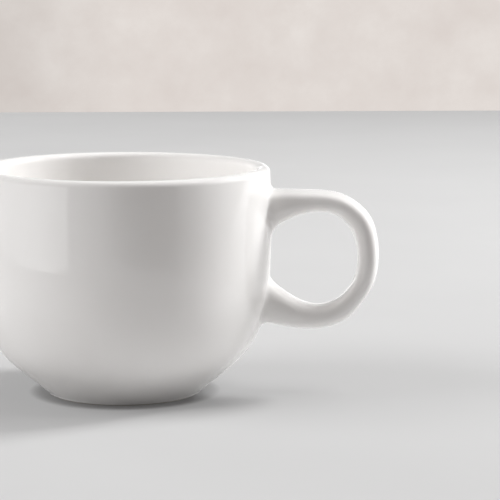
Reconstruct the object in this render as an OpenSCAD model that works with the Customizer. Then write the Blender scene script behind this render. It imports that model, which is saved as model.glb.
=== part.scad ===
// Porcelain shaving mug: a thrown-form cup on a bare foot ring, with a
// separately formed strap handle luted to the wall by two slip joints.
// The cup axis is Z, the foot stands on Z = 0 and the handle points along +X.

/* [Cup] */
// Overall height of the mug
mug_h = 74; // [66:1:86]
// Widest outside diameter of the cup
belly_d = 95.9; // [86:0.1:106]
// Outside diameter at the very lip
lip_d = 95.2; // [85:0.1:105]
// Outside diameter of the foot where it meets the table
foot_d = 50.2; // [44:0.1:58]
// Height of the widest point as a share of the mug height
belly_share = 0.676; // [0.6:0.002:0.74]
// How far the straight lower cone runs before it turns upwards
cone_run = 25.4; // [20:0.1:28]
// Lean of the lower cone away from vertical
cone_lean = 53.1; // [46:0.1:56]
// Length of the upper wall's pull in the side curve
side_pull = 27.9; // [22:0.1:30]

/* [Wall and floor] */
// Wall thickness at the side
wall = 4.4; // [3.4:0.1:5]
// Height of the inside floor above the table
floor_z = 7.5; // [6.6:0.1:9]
// Radius of the flat part of the inside floor
floor_r = 20; // [16:0.5:22]
// Height of the hollow under the base
recess_h = 2.8; // [2:0.1:3.2]

/* [Foot ring] */
// Height of the bare, unglazed ring
ring_h = 0.9; // [0.7:0.1:1.4]
// Width of the ring's flat contact face
ring_face = 3.1; // [2.4:0.1:3.6]
// Softened edge of the ring
ring_edge = 0.45; // [0.3:0.05:0.6]

/* [Handle] */
// Reach of the handle's centre line from the cup axis
reach = 79.45; // [76:0.05:84]
// Height of the handle's furthest point
reach_z = 45; // [41:0.5:49]
// Height of the handle where it leaves the upper joint
top_z = 61.5; // [59:0.1:63]
// Height of the handle where it reaches the lower joint
low_z = 28.5; // [27:0.1:30.5]
// Strap thickness along the free part of the handle
strap_t = 7.1; // [6:0.1:8]
// Strap width along the free part of the handle
strap_w = 12.6; // [10:0.1:14]
// Extra thickness of the strap at its upper root
top_root = 3.8; // [2:0.1:4.4]
// Extra thickness of the strap at its lower root
low_root = 5.1; // [3:0.1:5.6]
// Extra width of the strap at both roots
root_spread = 2.4; // [1:0.1:3]

/* [Slip joints] */
// Distance from the cup axis to the ends of the handle
joint_x = 51; // [50:0.1:52]
// How far each slip joint spreads past the handle root
slip_spread = 2.2; // [1.6:0.1:2.6]

/* [Hidden] */
$fn = 96;
belly_r = belly_d / 2;
lip_r = lip_d / 2;
foot_r = foot_d / 2;
belly_z = belly_share * mug_h;
lip_z = mug_h - wall / 2;
glaze = [0.93, 0.925, 0.91];
bisque = [0.84, 0.80, 0.74];
slip = [0.9, 0.895, 0.88];

// Point at t on the cubic curve a, b, c, d.
function cubic(a, b, c, d, t) =
    pow(1 - t, 3) * a + 3 * pow(1 - t, 2) * t * b + 3 * (1 - t) * t * t * c + t * t * t * d;

// Outside of the cup, from the table up to the widest point.
function side(t) = cubic(
    [foot_r, 0],
    [foot_r + cone_run * sin(cone_lean), cone_run * cos(cone_lean)],
    [belly_r, belly_z - side_pull],
    [belly_r, belly_z], t);

// Inside of the cup, from the edge of the flat floor up to the same height.
function bowl(t) = cubic(
    [floor_r, floor_z],
    [floor_r + 16, floor_z],
    [belly_r - wall, belly_z - side_pull],
    [belly_r - wall, belly_z], t);

// The wall above the widest point leans in very slightly towards the lip.
function lean(z) = (belly_r - lip_r) * pow((z - belly_z) / (lip_z - belly_z), 2);

side_low = [for (i = [0 : 40]) side(i / 40)];
side_high = [for (i = [1 : 8]) let (z = belly_z + (lip_z - belly_z) * i / 8) [belly_r - lean(z), z]];
outer_side = concat(side_low, side_high);
outer_table = [for (p = outer_side) [p[1], p[0]]];

// Outside radius of the cup at height z.
function wall_r(z) = lookup(z, outer_table);

// Distance along X to the outside wall at side position y and height z.
function wall_x(y, z) = sqrt(pow(wall_r(z), 2) - y * y);

ring_out = wall_r(ring_h);
ring_in = foot_r - ring_edge - ring_face - ring_edge;
recess_r = ring_in - 0.8;

module mug_body() {
    lip = [for (i = [1 : 17]) [lip_r - wall / 2 + wall / 2 * cos(10 * i), lip_z + wall / 2 * sin(10 * i)]];
    inner_high = [for (i = [8 : -1 : 1]) let (z = belly_z + (lip_z - belly_z) * i / 8) [belly_r - wall - lean(z), z]];
    inner_low = [for (i = [30 : -1 : 0]) bowl(i / 30)];
    color(glaze)
    rotate_extrude()
    polygon(concat(
        [[0, recess_h], [recess_r, recess_h], [ring_in, ring_h], [ring_out, ring_h]],
        [for (p = outer_side) if (p[1] > ring_h + 0.2) p],
        [for (p = lip) if (p[0] > lip_r - wall + 0.01) p],
        inner_high, inner_low, [[0, floor_z]]));
}

module foot_ring() {
    r1 = foot_r - ring_edge;
    r0 = r1 - ring_face;
    color(bisque)
    rotate_extrude()
    polygon([
        [r0, 0], [r1, 0],
        [r1 + ring_edge * 0.6, ring_edge * 0.12],
        [r1 + ring_edge * 1.05, ring_edge * 0.5],
        [ring_out, ring_h], [ring_in, ring_h],
        [ring_in, ring_edge * 0.7],
        [r0 - ring_edge * 0.4, ring_edge * 0.12]]);
}

// Centre line of the handle, u = 0 at the upper joint, 1 at the furthest
// point and 2 at the lower joint.
function path(u) = u <= 1
    ? cubic([joint_x, top_z], [joint_x + 18.9, top_z + 5.1], [reach, reach_z + 14.8], [reach, reach_z], u)
    : cubic([reach, reach_z], [reach, reach_z - 13.6], [joint_x + 16.1, low_z - 9.1], [joint_x, low_z], u - 1);

// Share of a root flare left at distance s beyond the joint, over length l.
function flare(s, l) = pow(max(0, 1 - s / l), 2);

function strap_half_t(u) = strap_t / 2
    + (u < 1 ? top_root / 2 * flare(path(u)[0] - joint_x, 14)
             : low_root / 2 * flare(path(u)[0] - joint_x, 18));
function strap_half_w(u) = strap_w / 2 + root_spread / 2 * flare(path(u)[0] - joint_x, 14);

// Direction across the strap's thickness; square to the joint at both ends.
function across(u) =
    let (a = path(max(0, u - 0.01)), b = path(min(2, u + 0.01)), d = b - a,
         n = [-d[1], d[0]] / norm(d),
         k = u < 0.25 ? u / 0.25 : (u > 1.75 ? (2 - u) / 0.25 : 1),
         e = u < 1 ? [0, 1] : [0, -1],
         m = n * k + e * (1 - k))
    m / norm(m);

sides = 28;
rings = 56;

// One ring of the strap: an oval, wide along Y and thin across.
function strap_ring(u) = let (c = path(u), n = across(u), t = strap_half_t(u), w = strap_half_w(u))
    [for (k = [0 : sides - 1]) let (a = 360 * k / sides,
        q = t * sin(a) * (1 + 0.05 * pow(sin(2 * a), 2)),
        y = w * cos(a) * (1 + 0.05 * pow(sin(2 * a), 2)))
        [c[0] + n[0] * q, y, c[1] + n[1] * q]];

function skin(n, m) = [for (i = [0 : n - 2]) for (k = [0 : m - 1])
    for (f = [[i * m + k, i * m + (k + 1) % m, (i + 1) * m + k],
              [i * m + (k + 1) % m, (i + 1) * m + (k + 1) % m, (i + 1) * m + k]]) f];

module handle() {
    us = [for (i = [0 : rings]) 2 * i / rings];
    pts = [for (u = us) for (p = strap_ring(u)) p];
    color(glaze)
    polyhedron(pts, concat(
        skin(rings + 1, sides),
        [[for (k = [sides - 1 : -1 : 0]) k]],
        [[for (k = [0 : sides - 1]) rings * sides + k]]));
}

// A slip joint runs from the flat end of the strap to the curved wall and
// spreads into a hollow fillet all round; its back lies on the wall.
module slip_joint(u, z_wall, half_t_wall) {
    n = 9;
    c = path(u);
    w1 = strap_half_w(u);
    w0 = w1 + slip_spread;
    end = strap_ring(u);
    // position of point k on the joint at v: 0 on the wall, 90 at the strap
    fillet = [for (i = [0 : n - 1]) let (v = 90 * (1 - i / (n - 1)))
        for (k = [0 : sides - 1]) let (
            s = sin(v),
            z_out = z_wall + (end[k][2] - c[1]) / strap_half_t(u) * half_t_wall,
            y_out = end[k][1] / w1 * w0,
            y = end[k][1] * s + y_out * (1 - s),
            z = end[k][2] * s + z_out * (1 - s),
            x = wall_x(y, z))
            [x + (joint_x - x) * (1 - cos(v)), y, z]];
    back = [for (j = [3 : -1 : 1]) for (k = [0 : sides - 1]) let (
            z = z_wall + (end[k][2] - c[1]) / strap_half_t(u) * half_t_wall * j / 4,
            y = end[k][1] / w1 * w0 * j / 4)
            [wall_x(y, z), y, z]];
    last = (n + 3) * sides;
    flip = u > 1 ? 1 : 0;
    faces = concat(
        skin(n + 3, sides),
        [[for (k = [sides - 1 : -1 : 0]) k]],
        [for (k = [0 : sides - 1]) [last - sides + k, last - sides + (k + 1) % sides, last]]);
    polyhedron(
        concat(fillet, back, [[wall_x(0, z_wall), 0, z_wall]]),
        flip == 1 ? faces : [for (f = faces) [for (i = [len(f) - 1 : -1 : 0]) f[i]]]);
}

module upper_slip_joint() {
    color(slip)
    slip_joint(0, top_z - 1.8, strap_half_t(0) + slip_spread + 1.4);
}

module lower_slip_joint() {
    color(slip)
    slip_joint(2, low_z + 1.6, strap_half_t(2) + slip_spread + 0.4);
}

mug_body();
foot_ring();
handle();
upper_slip_joint();
lower_slip_joint();
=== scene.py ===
import bpy, math
import numpy as np
from mathutils import Matrix, Vector


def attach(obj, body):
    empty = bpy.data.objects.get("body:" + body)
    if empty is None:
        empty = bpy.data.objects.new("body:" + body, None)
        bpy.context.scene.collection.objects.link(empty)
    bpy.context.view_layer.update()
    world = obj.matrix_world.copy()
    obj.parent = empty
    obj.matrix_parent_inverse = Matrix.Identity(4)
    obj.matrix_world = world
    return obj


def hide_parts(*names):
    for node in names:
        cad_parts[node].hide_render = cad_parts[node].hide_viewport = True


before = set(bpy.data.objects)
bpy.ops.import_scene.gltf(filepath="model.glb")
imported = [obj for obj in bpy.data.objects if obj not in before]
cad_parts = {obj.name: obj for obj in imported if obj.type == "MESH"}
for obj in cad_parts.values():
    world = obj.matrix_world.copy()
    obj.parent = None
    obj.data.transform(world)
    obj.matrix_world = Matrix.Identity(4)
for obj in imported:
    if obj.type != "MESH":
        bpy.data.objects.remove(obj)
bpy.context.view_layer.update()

MM = 0.001
rng = np.random.default_rng(7)

# ------------------------------------------------------------------ curves

def arc_side(r, z, phi, arcs, ds=0.05, blur=1.3):
    """Side curve going down from (r, z): tangent arcs (radius, end lean), lean measured from vertical, inwards positive.
    The lean is smoothed over a short length so that the curvature changes without a kink."""
    leans = [phi]
    for rad, end in arcs:
        n = max(2, int(abs(end - leans[-1]) * rad / ds))
        leans += list(np.linspace(leans[-1], end, n + 1)[1:])
    leans = np.array(leans)
    k = int(4 * blur / ds)
    w = np.exp(-0.5 * (np.arange(-k, k + 1) * ds / blur) ** 2); w /= w.sum()
    smooth = np.convolve(np.concatenate([np.full(k, leans[0]), leans, np.full(k, leans[-1])]), w, "valid")
    rr = r - np.concatenate([[0], np.cumsum(np.sin(smooth[:-1]) * ds)])
    zz = z - np.concatenate([[0], np.cumsum(np.cos(smooth[:-1]) * ds)])
    return np.stack([rr, zz], 1)


def cubic(a, b, c, d, t):
    a, b, c, d = (np.asarray(v, float) for v in (a, b, c, d))
    t = np.asarray(t)[:, None]
    return (1 - t) ** 3 * a + 3 * (1 - t) ** 2 * t * b + 3 * (1 - t) * t * t * c + t ** 3 * d


def resample(pts, step):
    d = np.concatenate([[0], np.cumsum(np.hypot(*np.diff(pts, axis=0).T))])
    n = max(2, int(round(d[-1] / step)))
    s = np.linspace(0, d[-1], n + 1)
    return np.stack([np.interp(s, d, pts[:, 0]), np.interp(s, d, pts[:, 1])], 1)


def bspline(ctrl, u):
    """Clamped cubic B-spline through its end points, u from 0 to 1."""
    c = np.asarray(ctrl, float)
    if c.ndim == 1:
        c = c[:, None]
    n = len(c)
    kn = np.concatenate([[0] * 3, np.linspace(0, 1, n - 2), [1] * 3])
    u = np.clip(np.asarray(u, float), 0, 1 - 1e-9)
    B = ((kn[:-1, None] <= u) & (u < kn[1:, None])).astype(float)
    for p in (1, 2, 3):
        m = len(kn) - 1 - p
        new = np.zeros((m, len(u)))
        for i in range(m):
            if kn[i + p] > kn[i]:
                new[i] += (u - kn[i]) / (kn[i + p] - kn[i]) * B[i]
            if kn[i + p + 1] > kn[i + 1]:
                new[i] += (kn[i + p + 1] - u) / (kn[i + p + 1] - kn[i + 1]) * B[i + 1]
        B = new
    return B.T @ c


def closed_bspline(ctrl, per):
    c = np.asarray(ctrl, float); n = len(c); out = []
    for i in range(n):
        p0, p1, p2, p3 = c[i - 1], c[i], c[(i + 1) % n], c[(i + 2) % n]
        for j in range(per):
            t = j / per
            out.append(((1 - t) ** 3 * p0 + (3 * t ** 3 - 6 * t * t + 4) * p1 + (-3 * t ** 3 + 3 * t * t + 3 * t + 1) * p2 + t ** 3 * p3) / 6)
    return np.array(out)

# ------------------------------------------------------------------ the cup's side, in mm

MUG_H, WALL, LIP_R, BELLY_R, BELLY_Z = 74.0, 4.4, 47.62, 47.95, 50.0
LIP_Z = MUG_H - 2.2
side = arc_side(LIP_R, LIP_Z, -0.050, [(321.7, 0.0668), (42.6, 0.4312), (26.3, 0.8464), (318.5, 0.897)])
last = side[-1]; d = side[-1] - side[-2]; d /= np.hypot(*d)
side = np.vstack([side, last + d * np.arange(0.05, 8, 0.05)[:, None]])
side = side[side[:, 1] > -1.0]
_sz, _sr = side[::-1, 1], side[::-1, 0]


def wall_r(z):
    return np.interp(z, _sz, _sr)


def wall_x(y, z):
    return np.sqrt(wall_r(z) ** 2 - y * y)


FOOT_Z = 0.28          # underside of the glazed wall, just above the table
outer = side[side[:, 1] > 0.95]
foot_out = np.array([[wall_r(0.95), 0.95], [wall_r(0.95) - 0.16, 0.64], [wall_r(0.95) - 0.42, 0.42], [wall_r(0.95) - 0.85, FOOT_Z], [24.75, FOOT_Z]])
under = np.array([[24.6, FOOT_Z + 0.05], [24.55, 0.95], [20.9, 0.95], [20.7, 1.05], [20.2, 1.7], [19.7, 2.3], [18.9, 2.7], [17.8, 2.8]])
under = np.vstack([under, np.stack([np.linspace(16.5, 0, 12), np.full(12, 2.8)], 1)])

th = np.radians(np.linspace(2.9, 180, 34))
cl = LIP_R - 0.003 - 2.21
lip = np.stack([cl + 2.215 * np.cos(th), LIP_Z + 2.2 * np.sin(th)], 1)
zz = np.linspace(LIP_Z, BELLY_Z, 24)[1:]
inner_hi = np.stack([BELLY_R - WALL - (BELLY_R - LIP_R) * ((zz - BELLY_Z) / (LIP_Z - BELLY_Z)) ** 2, zz], 1)
inner_lo = cubic([20, 7.5], [36, 7.5], [BELLY_R - WALL, BELLY_Z - 27.9], [BELLY_R - WALL, BELLY_Z], np.linspace(1, 0, 60)[1:])
floor_in = np.stack([np.linspace(20, 0, 14)[1:], np.full(13, 7.5)], 1)


def lathe(name, profile, seg=288, smooth=True, ripple=0.0):
    """Closed mesh of revolution. profile is an (r, z) line in mm. Where it starts and ends at r = 0 it closes on the axis, else it closes on itself."""
    prof = np.asarray(profile, float)
    on_axis = prof[0, 0] < 1e-6 and prof[-1, 0] < 1e-6
    mid = prof[1:-1] if on_axis else prof
    a = np.arange(seg) * 2 * math.pi / seg
    R, Z = mid[:, 0][:, None], mid[:, 1][:, None]
    # a turned form is never perfectly round: a few hundredths of a millimetre of slow waviness
    wob = ripple * (np.sin(2 * a + 0.6)[None] * 0.6 + np.sin(3 * a + 2.1)[None] * 0.4) * np.clip(Z / MUG_H, 0, 1)
    V = np.stack([(R + wob) * np.cos(a), (R + wob) * np.sin(a), np.broadcast_to(Z, (len(mid), seg))], -1).reshape(-1, 3)
    n = len(mid); faces = []
    for i in range(n - 1 if on_axis else n):
        j = (i + 1) % n
        for k in range(seg):
            l = (k + 1) % seg
            faces.append((i * seg + k, i * seg + l, j * seg + l, j * seg + k))
    if on_axis:
        V = np.vstack([V, [0, 0, prof[0, 1]], [0, 0, prof[-1, 1]]])
        s, e = n * seg, n * seg + 1
        faces += [(s, (k + 1) % seg, k) for k in range(seg)]
        faces += [((n - 1) * seg + k, (n - 1) * seg + (k + 1) % seg, e) for k in range(seg)]
    return make(name, V, faces, smooth)


def make(name, V, faces, smooth=True, normals=None):
    m = bpy.data.meshes.new(name)
    m.from_pydata((np.asarray(V) * MM).tolist(), [], [list(map(int, f)) for f in faces])
    m.update()
    import bmesh
    b = bmesh.new(); b.from_mesh(m)
    bmesh.ops.recalc_face_normals(b, faces=b.faces)
    b.to_mesh(m); b.free()
    for p in m.polygons:
        p.use_smooth = smooth
    if normals is not None:
        m.normals_split_custom_set_from_vertices([tuple(n) for n in normals])
    o = bpy.data.objects.new(name, m)
    bpy.context.scene.collection.objects.link(o)
    return o


body_profile = np.vstack([
    under[::-1], foot_out[::-1],
    resample(outer[::-1], 0.55)[1:],
    lip[1:], inner_hi, resample(inner_lo, 0.9), floor_in])
mug = lathe("mug_body_glazed", body_profile, ripple=0.035)

ring_profile = np.array([[21.15, 0.0], [24.2, 0.0], [24.42, 0.05], [24.5, 0.2], [24.5, 0.6], [24.5, 0.93], [22.8, 0.93],
                         [21.0, 0.93], [20.9, 0.6], [20.95, 0.18], [21.02, 0.05]])
ring = lathe("foot_ring_bisque", ring_profile, seg=240)

# ------------------------------------------------------------------ strap handle, in mm

PATH = [[51.0, 61.55], [58.5, 63.3], [69.0, 63.55], [74.25, 59.3], [78.05, 55.6], [80.05, 45.3], [78.45, 36.6], [75.4, 32.45], [70.4, 26.1], [59.95, 24.3], [51.0, 28.0]]
THICK = [10.8, 6.8, 6.65, 7.35, 7.6, 6.75, 6.8, 6.3, 7.8, 7.1, 11.0]
WIDTH = [15.0, 13.4, 12.8, 12.6, 12.6, 12.6, 12.6, 12.6, 12.7, 13.4, 15.0]
# half of the strap's section, from the crown of its outer face to the middle of its inner face
HALF = [(0.0, 1.0), (0.28, 0.975), (0.55, 0.89), (0.78, 0.73), (0.92, 0.50), (0.985, 0.22), (1.0, -0.04), (0.975, -0.28),
        (0.90, -0.52), (0.77, -0.73), (0.58, -0.88), (0.32, -0.97), (0.0, -1.0)]
sec = closed_bspline(HALF + [(-y, q) for y, q in HALF[-2:0:-1]], 3)
sec[:, 0] /= np.abs(sec[:, 0]).max()
sec[:, 1] = (sec[:, 1] - sec[:, 1].min()) / np.ptp(sec[:, 1]) * 2 - 1
M = len(sec)
RINGS = 150


def strap(u):
    """Points of the strap's rings at u, as an array (ring, point, xyz)."""
    u = np.atleast_1d(u)
    c = bspline(PATH, u)
    e = 1e-3
    dirn = bspline(PATH, np.clip(u + e, 0, 1)) - bspline(PATH, np.clip(u - e, 0, 1))
    dirn /= np.linalg.norm(dirn, axis=1)[:, None]
    nrm = np.stack([-dirn[:, 1], dirn[:, 0]], 1)
    t = bspline(THICK, u)[:, 0] / 2
    w = bspline(WIDTH, u)[:, 0] / 2
    q = t[:, None] * sec[None, :, 1]
    y = w[:, None] * sec[None, :, 0]
    return np.stack([c[:, 0:1] + nrm[:, 0:1] * q, y, c[:, 1:2] + nrm[:, 1:2] * q], -1)


us = np.linspace(0, 1, RINGS + 1)
S = strap(us)


def foot_print(zc, half_up, half_dn, half_w, power):
    """Outline on the wall where a slip joint ends, one point for each point of the section."""
    ang = np.arctan2(sec[:, 1], sec[:, 0])
    c, s = np.cos(ang), np.sin(ang)
    c = np.sign(c) * np.abs(c) ** power
    s = np.sign(s) * np.abs(s) ** power
    return c * half_w, zc + np.where(s > 0, half_up, half_dn) * s, c, s


def fillet(end_ring, inward, zc, half_up, half_dn, half_w, top_is_out, pull_up, pull_dn, pull_side=0.5, n=18):
    """Rings from the wall to the strap's end: they leave the wall along it and meet the strap in its own direction."""
    y0, z0, c, s = foot_print(zc, half_up if top_is_out else half_dn, half_dn if top_is_out else half_up, half_w, 0.92)
    if not top_is_out:
        z0 = 2 * zc - z0
        s = -s
    W = np.stack([wall_x(y0, z0), y0, z0], 1)
    h = 0.05
    g = np.stack([y0, (z0 - zc)], 1); g /= np.linalg.norm(g, axis=1)[:, None]
    out = np.stack([(wall_x(y0 + h * g[:, 0], z0 + h * g[:, 1]) - W[:, 0]) / h, g[:, 0], g[:, 1]], 1)
    out /= np.linalg.norm(out, axis=1)[:, None]
    gap = np.linalg.norm(W - end_ring, axis=1)[:, None]
    pull = (np.where(s > 0, pull_up, pull_dn) * s * s + pull_side * (1 - s * s))[:, None]
    t = np.linspace(0, 1, n)[:, None, None]
    B0, B1, B2, B3 = W, W - out * gap * pull, end_ring + inward * gap * pull, end_ring
    return ((1 - t) ** 3 * B0 + 3 * (1 - t) ** 2 * t * B1 + 3 * (1 - t) * t * t * B2 + t ** 3 * B3), W


d0 = strap(0.0)[0] - strap(0.004)[0]; d0 /= np.linalg.norm(d0, axis=1)[:, None]
d1 = strap(1 - 1e-6)[0] - strap(0.996)[0]; d1 /= np.linalg.norm(d1, axis=1)[:, None]
UP, W_UP = fillet(S[0], d0, 60.4, 9.0, 10.6, 9.9, True, 0.5, 0.38)
LO, W_LO = fillet(S[-1], d1, 29.9, 9.2, 9.1, 9.9, False, 0.28, 0.48)

# one smooth skin over wall, joints and strap gives matching normals where the pieces meet
skin = np.concatenate([UP[:-1], S, LO[::-1][1:]])
N, NU = len(skin), len(UP)
du = np.gradient(skin, axis=0)
dk = (np.roll(skin, -1, 1) - np.roll(skin, 1, 1)) / 2
nv = np.cross(dk, du)
nv /= np.maximum(np.linalg.norm(nv, axis=2)[..., None], 1e-12)
centre = skin.mean(1, keepdims=True)
if ((skin - centre) * nv).sum(-1).mean() < 0:
    nv = -nv


def wall_normal(P):
    h = 0.05
    slope = (wall_r(P[:, 2] + h) - wall_r(P[:, 2] - h)) / (2 * h)
    rad = np.stack([P[:, 0], P[:, 1]], 1); rad /= np.linalg.norm(rad, axis=1)[:, None]
    n = np.stack([rad[:, 0], rad[:, 1], -slope], 1)
    return n / np.linalg.norm(n, axis=1)[:, None]


nv[0] = wall_normal(W_UP)
nv[-1] = wall_normal(W_LO)


def tube_faces(n, m):
    return [(i * m + k, i * m + (k + 1) % m, (i + 1) * m + (k + 1) % m, (i + 1) * m + k) for i in range(n - 1) for k in range(m)]


def capped(name, rings, normals, back=None):
    """Closed piece from rings; back adds rings sunk into the wall behind the first one."""
    R = list(rings); NN = list(normals)
    if back is not None:
        R = back + R
        NN = [NN[0]] * len(back) + NN
    V = np.concatenate(R); n = len(R)
    faces = tube_faces(n, M)
    c0, c1 = R[0].mean(0), R[-1].mean(0)
    V = np.vstack([V, c0, c1]); a, b = n * M, n * M + 1
    faces += [(a, (k + 1) % M, k) for k in range(M)]
    faces += [((n - 1) * M + k, (n - 1) * M + (k + 1) % M, b) for k in range(M)]
    nn = np.vstack([np.concatenate(NN), [[-1, 0, 0]], [[1, 0, 0]]])
    return make(name, V, faces, True, nn)


def sunk(W, zc):
    nw = wall_normal(W)
    a = W - nw * 0.35
    b = W - nw * 0.8
    cen = np.array([0, 0, zc])
    for r, f in ((a, 0.99), (b, 0.93)):
        r[:, 1] *= f
        r[:, 2] = zc + (r[:, 2] - zc) * f
    return [b, a]


UPn, Sn, LOn = nv[:NU], nv[NU - 1:NU - 1 + len(S)], nv[NU - 1 + len(S) - 1:]
handle = capped("handle_strap", S, Sn)
upper = capped("upper_slip_fillet", UP, UPn, sunk(W_UP, 60.0))
lower = capped("lower_slip_fillet", LO, LOn[::-1], sunk(W_LO, 29.6))

# ------------------------------------------------------------------ materials

def nodes_for(name):
    m = bpy.data.materials.new(name); m.use_nodes = True
    nt = m.node_tree
    for n in list(nt.nodes):
        nt.nodes.remove(n)
    out = nt.nodes.new("ShaderNodeOutputMaterial")
    p = nt.nodes.new("ShaderNodeBsdfPrincipled")
    nt.links.new(p.outputs[0], out.inputs[0])
    return m, nt, p


def add(nt, kind, **kw):
    n = nt.nodes.new(kind)
    for k, v in kw.items():
        if hasattr(n, k):
            setattr(n, k, v)
        else:
            n.inputs[k].default_value = v
    return n


def ramp(nt, src, stops, interp="LINEAR"):
    r = nt.nodes.new("ShaderNodeValToRGB"); cr = r.color_ramp; cr.interpolation = interp
    while len(cr.elements) < len(stops):
        cr.elements.new(0.5)
    for e, (pos, col) in zip(cr.elements, stops):
        e.position = pos
        e.color = (*col, 1) if len(col) == 3 else col
    nt.links.new(src, r.inputs[0])
    return r


def glaze_material():
    m, nt, p = nodes_for("white_porcelain_glaze")
    tc = add(nt, "ShaderNodeTexCoord")
    big = add(nt, "ShaderNodeTexNoise", Scale=28.0, Detail=3.0, Roughness=0.5)
    nt.links.new(tc.outputs["Object"], big.inputs["Vector"])
    tone = ramp(nt, big.outputs["Fac"], [(0.30, (0.862, 0.852, 0.840)), (0.70, (0.882, 0.874, 0.864))])
    # rare tiny iron specks under the glaze
    vor = add(nt, "ShaderNodeTexVoronoi", Scale=95.0); vor.feature = "F1"
    nt.links.new(tc.outputs["Object"], vor.inputs["Vector"])
    pick = add(nt, "ShaderNodeMath", operation="GREATER_THAN"); pick.inputs[1].default_value = 0.965
    sepc = add(nt, "ShaderNodeSeparateColor")
    nt.links.new(vor.outputs["Color"], sepc.inputs[0]); nt.links.new(sepc.outputs[0], pick.inputs[0])
    dot = ramp(nt, vor.outputs["Distance"], [(0.020, (1, 1, 1)), (0.060, (0, 0, 0))])
    spk = add(nt, "ShaderNodeMath", operation="MULTIPLY")
    nt.links.new(dot.outputs[0], spk.inputs[0]); nt.links.new(pick.outputs[0], spk.inputs[1])
    half = add(nt, "ShaderNodeMath", operation="MULTIPLY"); half.inputs[1].default_value = 0.22
    nt.links.new(spk.outputs[0], half.inputs[0])
    mix = nt.nodes.new("ShaderNodeMix"); mix.data_type = "RGBA"
    nt.links.new(half.outputs[0], mix.inputs["Factor"]); nt.links.new(tone.outputs[0], mix.inputs["A"])
    mix.inputs["B"].default_value = (0.42, 0.38, 0.33, 1)
    nt.links.new(mix.outputs["Result"], p.inputs["Base Color"])
    # gloss: almost even, a little softer in slow patches
    rr = add(nt, "ShaderNodeMapRange"); rr.inputs["To Min"].default_value = 0.030; rr.inputs["To Max"].default_value = 0.050
    nt.links.new(big.outputs["Fac"], rr.inputs["Value"]); nt.links.new(rr.outputs["Result"], p.inputs["Roughness"])
    # very shallow orange peel and a slow drift of the glaze's thickness
    fine = add(nt, "ShaderNodeTexNoise", Scale=420.0, Detail=1.0)
    slow = add(nt, "ShaderNodeTexNoise", Scale=55.0, Detail=1.0)
    for n in (fine, slow):
        nt.links.new(tc.outputs["Object"], n.inputs["Vector"])
    b1 = add(nt, "ShaderNodeBump", Strength=0.03, Distance=0.0003)
    b2 = add(nt, "ShaderNodeBump", Strength=0.05, Distance=0.0010)
    nt.links.new(slow.outputs["Fac"], b2.inputs["Height"])
    nt.links.new(fine.outputs["Fac"], b1.inputs["Height"]); nt.links.new(b2.outputs[0], b1.inputs["Normal"])
    nt.links.new(b1.outputs[0], p.inputs["Normal"])
    p.inputs["IOR"].default_value = 1.5
    return m


def bisque_material():
    m, nt, p = nodes_for("bare_bisque")
    tc = add(nt, "ShaderNodeTexCoord")
    a = add(nt, "ShaderNodeTexNoise", Scale=160.0, Detail=6.0, Roughness=0.65)
    g = add(nt, "ShaderNodeTexNoise", Scale=1500.0, Detail=2.0)
    for n in (a, g):
        nt.links.new(tc.outputs["Object"], n.inputs["Vector"])
    tone = ramp(nt, a.outputs["Fac"], [(0.32, (0.50, 0.455, 0.40)), (0.52, (0.66, 0.615, 0.55)), (0.75, (0.72, 0.68, 0.62))])
    nt.links.new(tone.outputs[0], p.inputs["Base Color"])
    rr = add(nt, "ShaderNodeMapRange"); rr.inputs["To Min"].default_value = 0.78; rr.inputs["To Max"].default_value = 0.95
    nt.links.new(a.outputs["Fac"], rr.inputs["Value"]); nt.links.new(rr.outputs["Result"], p.inputs["Roughness"])
    b = add(nt, "ShaderNodeBump", Strength=0.5, Distance=0.0002)
    nt.links.new(g.outputs["Fac"], b.inputs["Height"]); nt.links.new(b.outputs[0], p.inputs["Normal"])
    return m


GLAZE, BISQUE = glaze_material(), bisque_material()
for o, node, mat, slot in ((mug, "mug_body", GLAZE, "glazed_porcelain"), (ring, "foot_ring", BISQUE, "bare_bisque"),
                           (handle, "handle", GLAZE, "glazed_porcelain"), (upper, "upper_slip_joint", GLAZE, "glazed_porcelain"),
                           (lower, "lower_slip_joint", GLAZE, "glazed_porcelain")):
    o.data.materials.append(mat)
    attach(o, "root")
    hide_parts(node)

# ------------------------------------------------------------------ camera

PHI = math.radians(7.0)      # the handle's turn towards the camera
cd, ch, cf, yaw, pitch, roll = 668.153, 143.832, 2068.82, 0.0615, 0.145, 0.001


def turn(v):
    c, s = math.cos(PHI), math.sin(PHI)
    return np.array([v[0] * c - v[1] * s, v[0] * s + v[1] * c, v[2]])


fwd = np.array([math.sin(yaw) * math.cos(pitch), math.cos(yaw) * math.cos(pitch), -math.sin(pitch)])
right = np.array([math.cos(yaw), -math.sin(yaw), 0.0])
up = np.cross(right, fwd)
right, up = math.cos(roll) * right + math.sin(roll) * up, -math.sin(roll) * right + math.cos(roll) * up
C, R_, U_, F_ = turn(np.array([0, -cd, ch])) * MM, turn(right), turn(up), turn(fwd)
cam_data = bpy.data.cameras.new("cam"); cam = bpy.data.objects.new("cam", cam_data)
bpy.context.scene.collection.objects.link(cam)
cam.matrix_world = Matrix(((R_[0], U_[0], -F_[0], C[0]), (R_[1], U_[1], -F_[1], C[1]), (R_[2], U_[2], -F_[2], C[2]), (0, 0, 0, 1)))
cam_data.sensor_width = 36.0
cam_data.lens = 36.0 * cf / 500.0
cam_data.clip_start, cam_data.clip_end = 0.05, 50
bpy.context.scene.camera = cam

# ------------------------------------------------------------------ stage: table, far wall, surroundings seen only in the gloss

def flat(name, pts, z):
    m = bpy.data.meshes.new(name)
    m.from_pydata([tuple(turn(np.array([x, y, 0.0])) * MM + np.array([0, 0, z])) for x, y in pts], [], [list(range(len(pts)))])
    m.update()
    o = bpy.data.objects.new(name, m); bpy.context.scene.collection.objects.link(o)
    return o


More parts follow.
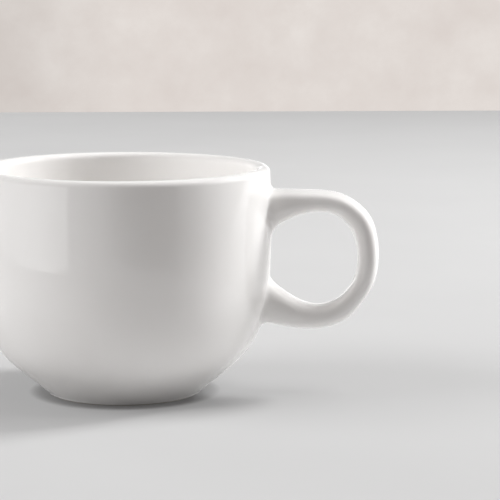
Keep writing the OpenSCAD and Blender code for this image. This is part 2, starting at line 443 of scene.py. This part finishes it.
def see(o, camera, diffuse, glossy, shadow, transmission=False, scatter=False):
    o.visible_camera, o.visible_diffuse, o.visible_glossy, o.visible_shadow = camera, diffuse, glossy, shadow
    o.visible_transmission, o.visible_volume_scatter = transmission, scatter


def table_material(name, share=1.0, painted_glow=0.0, painted_shade_spots=()):
    """A pale matt top. With a glow share, part of its brightness is painted light: the top glows evenly by itself
    (emission), and occlusion close to the foot shuts that glow out, so the cast shadows stay light and the contact line
    stays dark. Every spot listed after it darkens the base colour around it: painted shade."""
    m, nt, p = nodes_for(name)
    tc = add(nt, "ShaderNodeTexCoord")
    a = add(nt, "ShaderNodeTexNoise", Scale=9.0, Detail=4.0, Roughness=0.55)
    nt.links.new(tc.outputs["Object"], a.inputs["Vector"])
    lo, hi = 0.612 * share, 0.628 * share
    tone = ramp(nt, a.outputs["Fac"], [(0.3, (lo, lo, lo)), (0.7, (hi, hi, hi))])
    for spot, r0, r1, k0 in painted_shade_spots:      # painted shade: the base colour is darkened right under the mug, where the table lies in the mug's shade
        away = add(nt, "ShaderNodeVectorMath"); away.operation = "DISTANCE"
        nt.links.new(tc.outputs["Object"], away.inputs[0]); away.inputs[1].default_value = spot
        painted_shade_falloff = add(nt, "ShaderNodeMapRange"); painted_shade_falloff.interpolation_type = "SMOOTHSTEP"
        for k, v in (("From Min", r0), ("From Max", r1), ("To Min", k0), ("To Max", 1.0)):
            painted_shade_falloff.inputs[k].default_value = v
        nt.links.new(away.outputs["Value"], painted_shade_falloff.inputs["Value"])
        painted_shade_tone = add(nt, "ShaderNodeVectorMath"); painted_shade_tone.operation = "SCALE"
        nt.links.new(tone.outputs[0], painted_shade_tone.inputs[0]); nt.links.new(painted_shade_falloff.outputs["Result"], painted_shade_tone.inputs["Scale"])
        tone = painted_shade_tone
    nt.links.new(tone.outputs[0], p.inputs["Base Color"])
    # painted light: the top's own even glow (emission), shut out by occlusion close to the foot
    if painted_glow:
        ao = add(nt, "ShaderNodeAmbientOcclusion")
        ao.samples = 8
        ao.inputs["Distance"].default_value = 0.0045
        painted_glow_strength = add(nt, "ShaderNodeMapRange")
        for k, v in (("From Min", 0.4), ("From Max", 1.0), ("To Min", 0.0), ("To Max", painted_glow)):
            painted_glow_strength.inputs[k].default_value = v
        nt.links.new(ao.outputs["AO"], painted_glow_strength.inputs["Value"])
        nt.links.new(tone.outputs[0], p.inputs["Emission Color"])
        nt.links.new(painted_glow_strength.outputs["Result"], p.inputs["Emission Strength"])
    p.inputs["Roughness"].default_value = 0.6
    p.inputs["Specular IOR Level"].default_value = 0.25
    return m


# painted light: the table the camera sees glows by itself, which keeps the cast shadows light
TABLE = table_material("pale_table", 0.745, 0.365)
# painted shade: the colour of the table seen in reflections and bounce is darker right under the mug
TABLE_BOUNCE = table_material("pale_table_bounce", 1.0, 0.0, [((0, 0, 0), 0.030, 0.052, 0.6)])
FAR = 1165.0
table = flat("table", [(-4000, -4000), (4000, -4000), (4000, FAR), (-4000, FAR)], 0.0)
table.data.materials.append(TABLE)
see(table, True, False, False, True)
# the same table top as the glaze and the bounced light see it: it ends at its front corner
table_gloss = flat("table_in_gloss", [(-90, -337), (-906, 921), (-906, FAR), (1250, FAR), (1250, 340)][::-1], 0.00001)
table_gloss.data.materials.append(TABLE_BOUNCE)
see(table_gloss, False, True, True, False)


def glow(name, colour_fn):
    m = bpy.data.materials.new(name); m.use_nodes = True
    nt = m.node_tree
    for n in list(nt.nodes):
        nt.nodes.remove(n)
    out = nt.nodes.new("ShaderNodeOutputMaterial"); e = nt.nodes.new("ShaderNodeEmission")
    nt.links.new(e.outputs[0], out.inputs[0])
    colour_fn(nt, e)
    m.cycles.emission_sampling = "NONE"
    return m


def wall_glow_with_painted_shade(nt, e):
    tc = add(nt, "ShaderNodeTexCoord")
    a = add(nt, "ShaderNodeTexNoise", Scale=22.0, Detail=5.0, Roughness=0.6)
    nt.links.new(tc.outputs["Object"], a.inputs["Vector"])
    tone = ramp(nt, a.outputs["Fac"], [(0.30, (0.715, 0.655, 0.620)), (0.50, (0.745, 0.690, 0.655)), (0.72, (0.790, 0.740, 0.705))])
    # painted shade: the wall's glow is darker towards its left side
    sx = add(nt, "ShaderNodeSeparateXYZ"); nt.links.new(tc.outputs["Object"], sx.inputs[0])
    painted_shade_falloff = add(nt, "ShaderNodeMapRange"); painted_shade_falloff.interpolation_type = "SMOOTHSTEP"
    for k, v in (("From Min", -0.27), ("From Max", -0.12), ("To Min", 0.87), ("To Max", 1.0)):
        painted_shade_falloff.inputs[k].default_value = v
    nt.links.new(sx.outputs[0], painted_shade_falloff.inputs["Value"])
    nt.links.new(tone.outputs[0], e.inputs[0]); nt.links.new(painted_shade_falloff.outputs["Result"], e.inputs[1])


wall_m = bpy.data.meshes.new("far_wall")
wall_m.from_pydata([tuple(turn(np.array([x, FAR, z])) * MM) for x, z in ((-4000, -5), (4000, -5), (4000, 2500), (-4000, 2500))], [], [[0, 1, 2, 3]])
wall = bpy.data.objects.new("far_wall", wall_m); bpy.context.scene.collection.objects.link(wall)
wall_m.materials.append(glow("far_wall_glow_painted_shade", wall_glow_with_painted_shade))
see(wall, True, False, False, False)

# surroundings for the gloss: a wide dome whose glow is set per direction. Azimuth is measured from the camera's side,
# to the right; each panel is (azimuth from, to, edge softness, elevation from, to, edge softness, strength)
PANELS = [
    (-150, -43, (14, 0.6), -30, 14, (3, 24), 1.0),
    (-84, -43, (36, 0.6), -30, 14, (3, 24), 1.2),
    (-43, -6, (0.6, 30), -30, 8, (3, 16), 0.75),
    (42, 65, (1.0, 1), -30, 20, (3, 20), 0.30),
    (65, 110, (14, 14), -30, 20, (3, 20), 0.45),
    (110, 148, (14, 10), -30, 20, (3, 20), 1.35),
    (150, 210, (14, 14), -30, 4, (3, 10), 1.8),
    (128, 215, (14, 14), 4, 28, (8, 14), 0.35),
    (80, 132, (16, 16), 16, 44, (12, 12), 2.0),
    (82, 92, (3, 3), 52, 61, (3, 3), 9.0),
    (-180, 180, (0, 0), 50, 91, (20, 1), 0.4),
]


def smooth(x, a, w):
    if w <= 0:
        return (x >= a).astype(float)
    t = np.clip((x - (a - w / 2)) / w, 0, 1)
    return t * t * (3 - 2 * t)


def surroundings(az, el):
    out = np.full(az.shape, 0.03)
    for a0, a1, (s0, s1), e0, e1, (t0, t1), k in PANELS:
        if a1 - a0 >= 359:
            m = np.ones_like(az)
        else:
            x = (az - a0 + 180) % 360 - 180 + a0     # azimuth nearest the panel's start
            x2 = np.where(x < a0 - 90, x + 360, x)
            m = smooth(x2, a0, s0) * (1 - smooth(x2, a1, s1))
            x3 = x2 + 360
            m = np.maximum(m, smooth(x3, a0, s0) * (1 - smooth(x3, a1, s1)))
            x4 = x2 - 360
            m = np.maximum(m, smooth(x4, a0, s0) * (1 - smooth(x4, a1, s1)))
        out += k * m * smooth(el, e0, t0) * (1 - smooth(el, e1, t1))
    return out


def dome():
    az = np.arange(-180, 180, 1.0); el = np.concatenate([np.arange(-40, 90, 1.5), [89.5]])
    A, E = np.meshgrid(np.radians(az), np.radians(el))
    rad = 6000.0
    V = np.stack([np.sin(A) * np.cos(E), -np.cos(A) * np.cos(E), np.sin(E)], -1) * rad
    V = np.stack([turn(v) for v in V.reshape(-1, 3)])
    n, m = A.shape
    faces = [(i * m + k, i * m + (k + 1) % m, (i + 1) * m + (k + 1) % m, (i + 1) * m + k) for i in range(n - 1) for k in range(m)]
    me = bpy.data.meshes.new("surroundings"); me.from_pydata((V * MM).tolist(), [], faces); me.update()
    at = me.color_attributes.new("glow", "FLOAT_COLOR", "POINT")
    val = surroundings(np.degrees(A).ravel(), np.degrees(E).ravel())
    col = np.stack([val, val, val, np.ones_like(val)], 1).astype(np.float32)
    at.data.foreach_set("color", col.ravel())

    def colour(nt, e):
        a = nt.nodes.new("ShaderNodeVertexColor"); a.layer_name = "glow"
        nt.links.new(a.outputs[0], e.inputs[0])
    me.materials.append(glow("surroundings_glow", colour))
    o = bpy.data.objects.new("surroundings", me); bpy.context.scene.collection.objects.link(o)
    see(o, False, False, True, False)
    return o


dome_o = dome()

# ------------------------------------------------------------------ lights (soft, not seen in the gloss)

def area(name, az, el, dist, size, power, colour=(1, 1, 1)):
    L = bpy.data.lights.new(name, "AREA"); L.shape = "RECTANGLE"; L.size, L.size_y = size
    L.energy = power; L.color = colour
    a, e = math.radians(az), math.radians(el)
    p = turn(np.array([math.sin(a) * math.cos(e), -math.cos(a) * math.cos(e), math.sin(e)]) * dist)
    o = bpy.data.objects.new(name, L); bpy.context.scene.collection.objects.link(o)
    o.location = Vector(p)
    target = Vector((0.01, 0, 0.035))
    o.rotation_euler = (target - o.location).to_track_quat("-Z", "Y").to_euler()
    o.visible_glossy = False
    o.visible_camera = False
    return o


LIGHTS = [
    ("key_right_back", 110, 36, 1.6, (0.42, 0.42), 22.5),
    ("right_high", 85, 62, 1.6, (0.8, 0.8), 5.5),
    ("right_low", 104, 11, 1.6, (0.9, 0.6), 7.5),
    ("window_left", -84, 34, 1.6, (1.0, 0.9), 13.5),
    ("window_left_low", -80, 12, 1.6, (1.0, 0.8), 5.5),
    ("back_left_low", -148, 12, 1.6, (0.8, 0.8), 8.0),
    ("top_fill", 0, 89, 1.6, (1.0, 1.0), 3.8),
]
for spec in LIGHTS:
    lamp = area(*spec)
lamp.data.use_shadow = False       # the last one only fills

world = bpy.data.worlds.new("studio"); bpy.context.scene.world = world
world.use_nodes = True
wn = world.node_tree
bg = wn.nodes.get("Background") or wn.nodes.new("ShaderNodeBackground")
bg.inputs[0].default_value = (1.0, 0.89, 0.85, 1)
bg.inputs[1].default_value = 0.14

sc = bpy.context.scene
sc.view_settings.view_transform = "Standard"
sc.view_settings.look = "None"
sc.view_settings.exposure = 0.0
sc.view_settings.gamma = 1.0
sc.cycles.max_bounces, sc.cycles.diffuse_bounces = 16, 10
